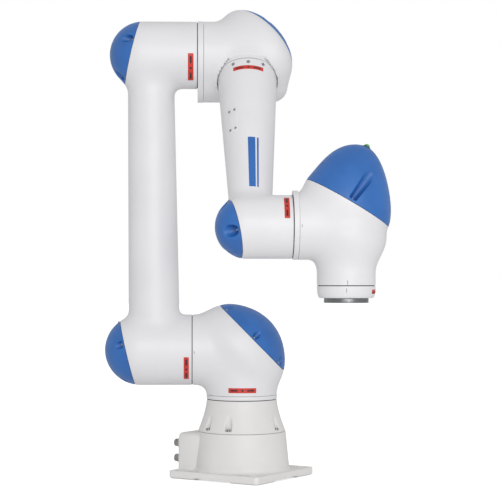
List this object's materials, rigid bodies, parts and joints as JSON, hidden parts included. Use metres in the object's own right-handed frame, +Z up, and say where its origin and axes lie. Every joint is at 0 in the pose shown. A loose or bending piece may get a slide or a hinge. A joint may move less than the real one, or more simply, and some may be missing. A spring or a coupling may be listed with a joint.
{
  "type": "collaborative robot arm",
  "caption": "Articulated robot arm on a square foot plate, with rounded white castings, blue domed covers and a round tool flange.",
  "frame": {"origin": "where the swivel axis meets the underside of the foot plate", "axes": "+Z up along the swivel axis, +X along the shoulder and elbow axes towards the wrist, -Y the front of the arm"},
  "size_m": [0.6489, 0.5283, 1.1099],
  "materials": {
    "white_paint": "satin powder coat on cast aluminium",
    "warm_white_paint": "satin powder coat, slightly warmer",
    "blue_plastic": "satin moulded cover",
    "dark_plastic": "moulded, matte",
    "bare_metal": "machined",
    "gear_steel": "ground steel",
    "motor_copper": "varnished windings",
    "circuit_board": "solder mask",
    "green_lens": "translucent moulded lens"
  },
  "bodies": {
    "base": {"base_casting": "warm_white_paint", "base_collar": "warm_white_paint", "connector_panel": "white_paint", "power_connector": "bare_metal", "signal_connector": "bare_metal", "network_connector": "bare_metal", "air_fitting": "bare_metal", "ground_terminal": "bare_metal", "base_terminal_board": "circuit_board", "swivel_output_flange": "bare_metal"},
    "swivel": {"shoulder_housing": "white_paint", "swivel_ring": "white_paint", "shoulder_cover": "blue_plastic", "shoulder_output_flange": "bare_metal", "swivel_gear": "gear_steel", "swivel_motor": "motor_copper", "swivel_brake": "dark_plastic", "swivel_control_board": "circuit_board"},
    "lower_arm": {"lower_arm_casting": "white_paint", "shoulder_end_cover": "blue_plastic", "elbow_end_cover": "blue_plastic", "shoulder_gear": "gear_steel", "shoulder_motor": "motor_copper", "shoulder_brake": "dark_plastic", "shoulder_control_board": "circuit_board", "elbow_gear": "gear_steel", "elbow_motor": "motor_copper", "elbow_brake": "dark_plastic", "elbow_control_board": "circuit_board"},
    "elbow": {"elbow_housing": "white_paint", "elbow_ring": "white_paint", "elbow_cover": "blue_plastic", "elbow_output_flange": "bare_metal", "forearm_gear": "gear_steel", "forearm_motor": "motor_copper", "forearm_brake": "dark_plastic", "forearm_control_board": "circuit_board"},
    "forearm": {"forearm_casting": "white_paint", "forearm_end_cover": "blue_plastic", "forearm_port_cover": "white_paint", "forearm_output_flange": "bare_metal", "wrist_gear": "gear_steel", "wrist_motor": "motor_copper", "wrist_brake": "dark_plastic", "wrist_control_board": "circuit_board"},
    "wrist": {"wrist_housing": "white_paint", "wrist_ring": "white_paint", "wrist_cover": "blue_plastic", "status_lamp": "green_lens", "wrist_output_flange": "bare_metal", "tool_gear": "gear_steel", "tool_motor": "motor_copper", "tool_brake": "dark_plastic", "tool_control_board": "circuit_board"},
    "tool": {"flange_collar": "white_paint", "tool_flange": "bare_metal", "tool_output_flange": "bare_metal"}
  },
  "joints": [
    {"name": "swivel", "type": "hinge", "parent": "base", "child": "swivel", "pos_m": [0, 0, 0.1835], "axis": [0, 0, 1], "range_deg": [-126, 234]},
    {"name": "shoulder", "type": "hinge", "parent": "swivel", "child": "lower_arm", "pos_m": [-0.118, 0, 0.3], "axis": [1, 0, 0], "range_deg": [-95, 95]},
    {"name": "elbow", "type": "hinge", "parent": "lower_arm", "child": "elbow", "pos_m": [-0.106, 0, 1], "axis": [-1, 0, 0], "range_deg": [-2, 305]},
    {"name": "forearm_roll", "type": "hinge", "parent": "elbow", "child": "forearm", "pos_m": [0.0115, -0.03818, 0.94253], "axis": [0, -0.5534, -0.8329], "range_deg": [-120, 180]},
    {"name": "wrist_bend", "type": "hinge", "parent": "forearm", "child": "wrist", "pos_m": [0.1015, -0.27836, 0.58104], "axis": [1, 0, 0], "range_deg": [-180, 180]},
    {"name": "tool_turn", "type": "hinge", "parent": "wrist", "child": "tool", "pos_m": [0.2205, -0.27836, 0.45204], "axis": [0, 0, -1], "range_deg": [-180, 180]}
  ]
}
